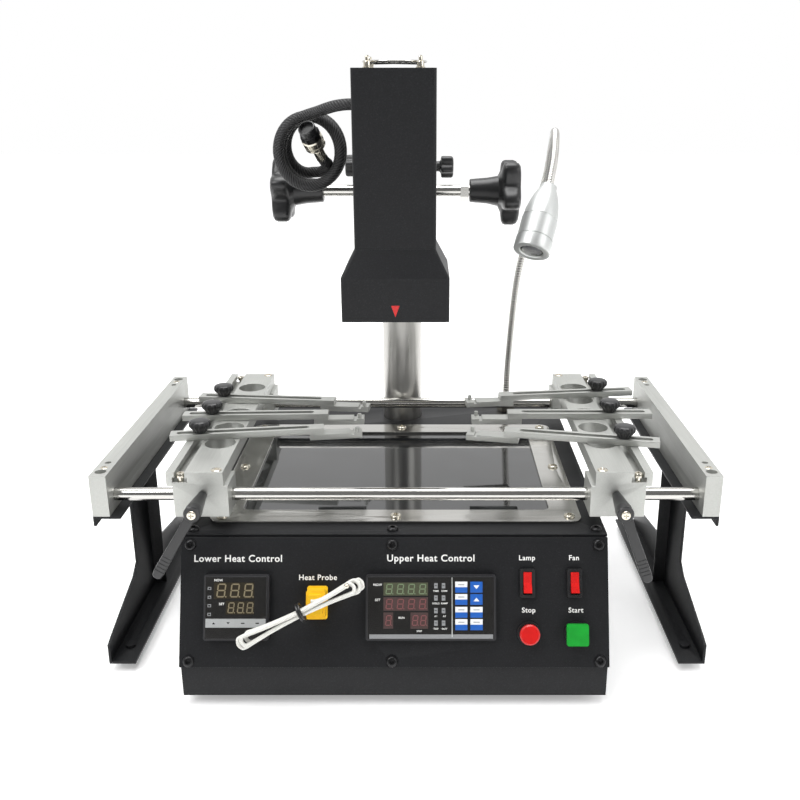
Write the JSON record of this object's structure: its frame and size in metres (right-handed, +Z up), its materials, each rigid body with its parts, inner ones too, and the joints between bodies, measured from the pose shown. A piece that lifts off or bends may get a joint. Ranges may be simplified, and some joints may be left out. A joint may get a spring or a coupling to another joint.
{
  "type": "infrared rework station",
  "caption": "Bench infrared rework station: heated base with sloping control panel, lifting heater head on a column, lamp, and a free-standing board fixture with swivel arms.",
  "frame": {"origin": "centre of the bounding box on the table, which is the fixture centre line across and mid depth of the base with its rear gland", "axes": "+X to the right of the control panel, +Y to the back, +Z up"},
  "size_m": [0.472, 0.3699, 0.463],
  "materials": {
    "black_sheet": "fine textured powder coat",
    "mirror_steel": "polished stainless",
    "black_glass": "polished black ceramic glass",
    "ceramic": "matt ceramic",
    "rubber": "matt",
    "screws": "black oxide and steel",
    "meter_case": "fine matt",
    "yellow": "smooth moulded",
    "white_braid": "glass-fibre braid",
    "black_plastic": "smooth moulded",
    "red": "smooth",
    "green": "smooth",
    "chrome": "polished",
    "clear": "clear",
    "alloy": "satin anodised",
    "black_braid": "nylon braid"
  },
  "bodies": {
    "base": {"base_tub": "black_sheet", "front_panel": "black_sheet", "top_deck": "black_sheet", "heater_frame": "mirror_steel", "heater_glass": "black_glass", "lower_heater": "ceramic", "base_feet": "rubber", "base_screws": "screws", "lower_controller": "meter_case", "upper_controller": "meter_case", "sensor_socket": "yellow", "sensor_plug": "yellow", "sensor_hank": "white_braid", "panel_bezels": "black_plastic", "column": "chrome", "column_socket": "alloy", "lamp_gooseneck": "chrome", "lamp_head": "chrome", "lamp_lens": "clear", "cable_gland": "rubber"},
    "light_switch": {"light_rocker": "red"},
    "fan_switch": {"fan_rocker": "red"},
    "stop": {"stop_button": "red"},
    "start": {"start_button": "green"},
    "bracket": {"swing_bracket": "black_sheet"},
    "lift_drive": {"lift_shaft": "chrome", "left_knob": "black_plastic", "right_knob": "black_plastic"},
    "left_lock": {"left_lock_screw": "black_plastic"},
    "right_lock": {"right_lock_screw": "black_plastic"},
    "head": {"head_housing": "black_sheet", "heater_hood": "black_sheet", "upper_heater": "ceramic", "head_slide": "alloy", "lift_rack": "chrome", "fan_frame": "black_plastic", "fan_guard": "chrome", "head_cable_lead": "black_braid", "head_cable_coil": "black_braid", "head_plug": "chrome"},
    "fan": {"fan_rotor": "black_plastic"},
    "fixture": {"fixture_legs": "black_sheet", "side_rails": "alloy", "guide_rods": "chrome"},
    "left_slide": {"left_carriage": "alloy"},
    "right_slide": {"right_carriage": "alloy"},
    "left_lever": {"left_clamp_lever": "black_plastic"},
    "right_lever": {"right_clamp_lever": "black_plastic"},
    "left_front_screw": {"screw_left_front": "black_plastic"},
    "left_front_arm": {"arm_left_front": "alloy"},
    "left_middle_screw": {"screw_left_middle": "black_plastic"},
    "left_middle_arm": {"arm_left_middle": "alloy"},
    "left_rear_screw": {"screw_left_rear": "black_plastic"},
    "left_rear_arm": {"arm_left_rear": "alloy"},
    "right_front_screw": {"screw_right_front": "black_plastic"},
    "right_front_arm": {"arm_right_front": "alloy"},
    "right_middle_screw": {"screw_right_middle": "black_plastic"},
    "right_middle_arm": {"arm_right_middle": "alloy"},
    "right_rear_screw": {"screw_right_rear": "black_plastic"},
    "right_rear_arm": {"arm_right_rear": "alloy"}
  },
  "joints": [
    {"name": "light_rock", "type": "hinge", "parent": "base", "child": "light_switch", "pos_m": [0.09008, -0.15198, 0.09143], "axis": [1, 0, 0], "range_deg": [0, 16]},
    {"name": "fan_rock", "type": "hinge", "parent": "base", "child": "fan_switch", "pos_m": [0.12506, -0.15198, 0.09143], "axis": [1, 0, 0], "range_deg": [0, 16]},
    {"name": "stop_press", "type": "slide", "parent": "base", "child": "stop", "axis": [0, 0.9223, -0.3865], "range_m": [0, 0.003], "stiffness_N_per_m": 400},
    {"name": "start_press", "type": "slide", "parent": "base", "child": "start", "axis": [0, 0.9223, -0.3865], "range_m": [0, 0.003], "stiffness_N_per_m": 400},
    {"name": "head_swing", "type": "hinge", "parent": "base", "child": "bracket", "pos_m": [-0.0085, 0.134, 0.362], "axis": [0, 0, 1], "range_deg": [-60, 0]},
    {"name": "head_lift", "type": "slide", "parent": "bracket", "child": "head", "axis": [0, 0, 1], "range_m": [-0.06, 0.012]},
    {"name": "shaft_turn", "type": "hinge", "parent": "bracket", "child": "lift_drive", "pos_m": [-0.0085, 0.076, 0.354], "axis": [1, 0, 0], "range_deg": [-60, 290]},
    {"name": "left_lock_turn", "type": "hinge", "parent": "bracket", "child": "left_lock", "pos_m": [-0.0385, 0.088, 0.374], "axis": [1, 0, 0], "range_deg": [-90, 90]},
    {"name": "right_lock_turn", "type": "hinge", "parent": "bracket", "child": "right_lock", "pos_m": [0.0215, 0.088, 0.374], "axis": [1, 0, 0], "range_deg": [-90, 90]},
    {"name": "fan_spin", "type": "hinge", "parent": "head", "child": "fan", "pos_m": [-0.0085, -0.0245, 0.446], "axis": [0, 0, 1], "continuous": true},
    {"name": "fixture_shift", "type": "slide", "parent": "base", "child": "fixture", "axis": [0, 1, 0], "range_m": [-0.04, 0]},
    {"name": "left_carriage_slide", "type": "slide", "parent": "fixture", "child": "left_slide", "axis": [1, 0, 0], "range_m": [-0.03, 0.02]},
    {"name": "right_carriage_slide", "type": "slide", "parent": "fixture", "child": "right_slide", "axis": [1, 0, 0], "range_m": [-0.02, 0.03]},
    {"name": "left_lever_turn", "type": "hinge", "parent": "left_slide", "child": "left_lever", "pos_m": [-0.1519, -0.128, 0.152], "axis": [0, 1, 0], "range_deg": [-24, 90]},
    {"name": "right_lever_turn", "type": "hinge", "parent": "right_slide", "child": "right_lever", "pos_m": [0.1571, -0.128, 0.152], "axis": [0, 1, 0], "range_deg": [-90, 28]},
    {"name": "left_front_screw_slide", "type": "slide", "parent": "left_slide", "child": "left_front_screw", "axis": [0, 1, 0], "range_m": [-0.01, 0.01]},
    {"name": "left_front_arm_turn", "type": "hinge", "parent": "left_front_screw", "child": "left_front_arm", "pos_m": [-0.1682, -0.056, 0.173], "axis": [0, 0, 1], "range_deg": [-20, 6]},
    {"name": "left_middle_screw_slide", "type": "slide", "parent": "left_slide", "child": "left_middle_screw", "axis": [0, 1, 0], "range_m": [-0.01, 0.01]},
    {"name": "left_middle_arm_turn", "type": "hinge", "parent": "left_middle_screw", "child": "left_middle_arm", "pos_m": [-0.1682, -0.0095, 0.173], "axis": [0, 0, 1], "range_deg": [-6, 6]},
    {"name": "left_rear_screw_slide", "type": "slide", "parent": "left_slide", "child": "left_rear_screw", "axis": [0, 1, 0], "range_m": [-0.01, 0.01]},
    {"name": "left_rear_arm_turn", "type": "hinge", "parent": "left_rear_screw", "child": "left_rear_arm", "pos_m": [-0.1682, 0.039, 0.173], "axis": [0, 0, 1], "range_deg": [-6, 20]},
    {"name": "right_front_screw_slide", "type": "slide", "parent": "right_slide", "child": "right_front_screw", "axis": [0, 1, 0], "range_m": [-0.01, 0.01]},
    {"name": "right_front_arm_turn", "type": "hinge", "parent": "right_front_screw", "child": "right_front_arm", "pos_m": [0.1734, -0.0685, 0.173], "axis": [0, 0, 1], "range_deg": [-6, 20]},
    {"name": "right_middle_screw_slide", "type": "slide", "parent": "right_slide", "child": "right_middle_screw", "axis": [0, 1, 0], "range_m": [-0.01, 0.01]},
    {"name": "right_middle_arm_turn", "type": "hinge", "parent": "right_middle_screw", "child": "right_middle_arm", "pos_m": [0.1734, -0.005, 0.173], "axis": [0, 0, 1], "range_deg": [-6, 6]},
    {"name": "right_rear_screw_slide", "type": "slide", "parent": "right_slide", "child": "right_rear_screw", "axis": [0, 1, 0], "range_m": [-0.01, 0.01]},
    {"name": "right_rear_arm_turn", "type": "hinge", "parent": "right_rear_screw", "child": "right_rear_arm", "pos_m": [0.1734, 0.055, 0.173], "axis": [0, 0, 1], "range_deg": [-20, 6]}
  ],
  "couplings": [
    {"joint": "shaft_turn", "follows": "head_lift", "rad_per_m": -83.333}
  ]
}
